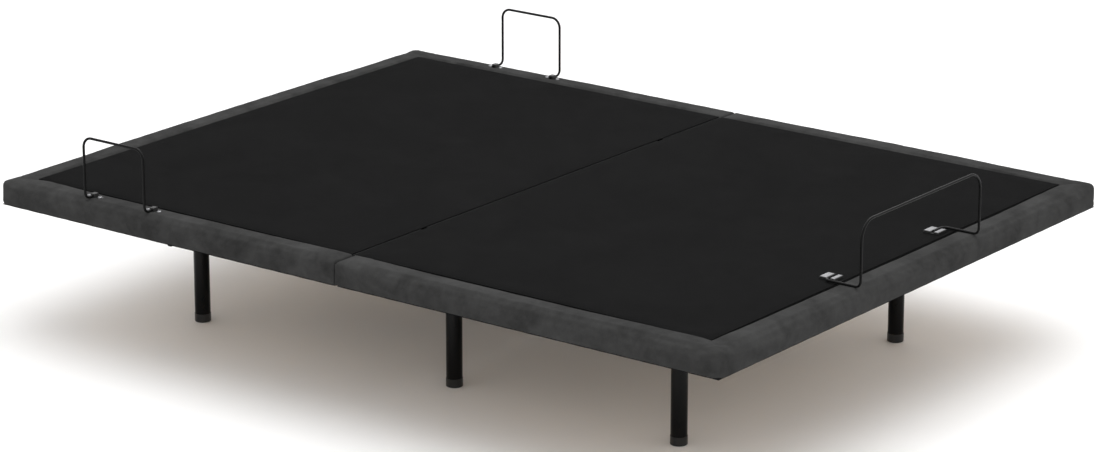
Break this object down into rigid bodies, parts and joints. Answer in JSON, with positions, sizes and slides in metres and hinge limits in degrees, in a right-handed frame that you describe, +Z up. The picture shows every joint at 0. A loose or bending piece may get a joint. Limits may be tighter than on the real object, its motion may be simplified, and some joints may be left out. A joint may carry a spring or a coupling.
{
  "type": "adjustable bed base",
  "caption": "Queen-size upholstered adjustable bed base: two hinged deck halves on a legged steel frame, each raised by an actuator and roller arms, with mattress retainers.",
  "frame": {"origin": "on the floor under the centre of the deck", "axes": "+Z up, +X from the head end to the foot end, +Y towards the left side of a sleeper lying on their back"},
  "size_m": [2.032, 1.524, 0.516],
  "materials": {
    "border_fabric": "charcoal suede-like microfibre",
    "bright_steel": "bright drawn steel",
    "bush_nylon": "natural nylon",
    "cap_plastic": "satin black",
    "clamp_paint": "satin black powder coat",
    "deck_fabric": "black non-slip woven fabric",
    "frame_paint": "satin black powder coat",
    "housing_plastic": "textured black",
    "leg_paint": "gloss black powder coat",
    "pad_rubber": "black rubber",
    "plywood": "birch plywood, unfinished",
    "rail_wood": "planed pine",
    "roller_nylon": "natural nylon",
    "tube_aluminium": "satin extruded",
    "wire_paint": "semi-gloss black powder coat",
    "zinc_plate": "bright zinc plate"
  },
  "bodies": {
    "base_frame": {"actuator_brackets": "frame_paint", "bearing_bushes": "bush_nylon", "control_box": "housing_plastic", "control_box_cover": "housing_plastic", "control_sockets": "housing_plastic", "end_cross_tubes": "frame_paint", "foot_actuator_tube": "tube_aluminium", "foot_gear_motor": "housing_plastic", "frame_rail_left": "frame_paint", "frame_rail_right": "frame_paint", "head_actuator_tube": "tube_aluminium", "head_gear_motor": "housing_plastic", "headboard_plates": "frame_paint", "hinge_ears": "frame_paint", "leg_caps": "cap_plastic", "leg_foot_left": "leg_paint", "leg_foot_right": "leg_paint", "leg_head_left": "leg_paint", "leg_head_right": "leg_paint", "leg_mid_left": "leg_paint", "leg_mid_right": "leg_paint", "leg_plates": "frame_paint", "motor_cross_tubes": "frame_paint", "rest_pads": "pad_rubber", "rest_posts": "frame_paint", "tube_bearings": "frame_paint"},
    "head_deck": {"head_deck_board": "plywood", "head_deck_fabric": "deck_fabric", "head_side_rails": "rail_wood", "head_cross_rails": "rail_wood", "head_border": "border_fabric", "head_lift_beams": "frame_paint", "head_hinge_knuckles": "frame_paint", "head_hinge_pins": "bright_steel", "side_retainer_left": "wire_paint", "side_retainer_right": "wire_paint", "side_retainer_clamps": "clamp_paint", "side_clamp_screws": "zinc_plate"},
    "foot_deck": {"foot_deck_board": "plywood", "foot_deck_fabric": "deck_fabric", "foot_side_rails": "rail_wood", "foot_cross_rails": "rail_wood", "foot_border": "border_fabric", "foot_lift_beams": "frame_paint", "foot_hinge_knuckles": "frame_paint", "foot_hinge_pins": "bright_steel", "foot_retainer": "wire_paint", "foot_retainer_clamps": "zinc_plate"},
    "head_lift": {"head_lift_tube": "frame_paint", "head_lift_arms": "frame_paint", "head_crank": "frame_paint"},
    "foot_lift": {"foot_lift_tube": "frame_paint", "foot_lift_arms": "frame_paint", "foot_crank": "frame_paint"},
    "head_rod": {"head_push_rod": "bright_steel"},
    "foot_rod": {"foot_push_rod": "bright_steel"},
    "head_roller_left_wheel": {"head_roller_left": "roller_nylon"},
    "head_roller_right_wheel": {"head_roller_right": "roller_nylon"},
    "foot_roller_left_wheel": {"foot_roller_left": "roller_nylon"},
    "foot_roller_right_wheel": {"foot_roller_right": "roller_nylon"}
  },
  "joints": [
    {"name": "head_lift", "type": "hinge", "parent": "base_frame", "child": "head_deck", "pos_m": [-0.024, 0, 0.351], "axis": [0, 1, 0], "range_deg": [0, 60]},
    {"name": "head_tube_turn", "type": "hinge", "parent": "base_frame", "child": "head_lift", "pos_m": [-0.07, 0, 0.318], "axis": [0, 1, 0], "range_deg": [0, 62.57]},
    {"name": "head_rod_slide", "type": "slide", "parent": "base_frame", "child": "head_rod", "axis": [-1, 0, 0], "range_m": [0, 0.1429]},
    {"name": "head_roller_left_spin", "type": "hinge", "parent": "head_lift", "child": "head_roller_left_wheel", "pos_m": [-0.6, 0.299, 0.2896], "axis": [0, 1, 0], "continuous": true},
    {"name": "head_roller_right_spin", "type": "hinge", "parent": "head_lift", "child": "head_roller_right_wheel", "pos_m": [-0.6, -0.299, 0.2896], "axis": [0, 1, 0], "continuous": true},
    {"name": "foot_lift", "type": "hinge", "parent": "base_frame", "child": "foot_deck", "pos_m": [0.024, 0, 0.351], "axis": [0, -1, 0], "range_deg": [0, 35]},
    {"name": "foot_tube_turn", "type": "hinge", "parent": "base_frame", "child": "foot_lift", "pos_m": [0.07, 0, 0.318], "axis": [0, -1, 0], "range_deg": [0, 37.25]},
    {"name": "foot_rod_slide", "type": "slide", "parent": "base_frame", "child": "foot_rod", "axis": [1, 0, 0], "range_m": [0, 0.0808]},
    {"name": "foot_roller_left_spin", "type": "hinge", "parent": "foot_lift", "child": "foot_roller_left_wheel", "pos_m": [0.6, 0.299, 0.2896], "axis": [0, 1, 0], "continuous": true},
    {"name": "foot_roller_right_spin", "type": "hinge", "parent": "foot_lift", "child": "foot_roller_right_wheel", "pos_m": [0.6, -0.299, 0.2896], "axis": [0, 1, 0], "continuous": true}
  ],
  "couplings": [
    {"joint": "head_tube_turn", "follows": "head_lift", "ratio": 1.042},
    {"joint": "head_rod_slide", "follows": "head_lift", "m_per_rad": 0.13636},
    {"joint": "foot_tube_turn", "follows": "foot_lift", "ratio": 1.063},
    {"joint": "foot_rod_slide", "follows": "foot_lift", "m_per_rad": 0.13211}
  ]
}
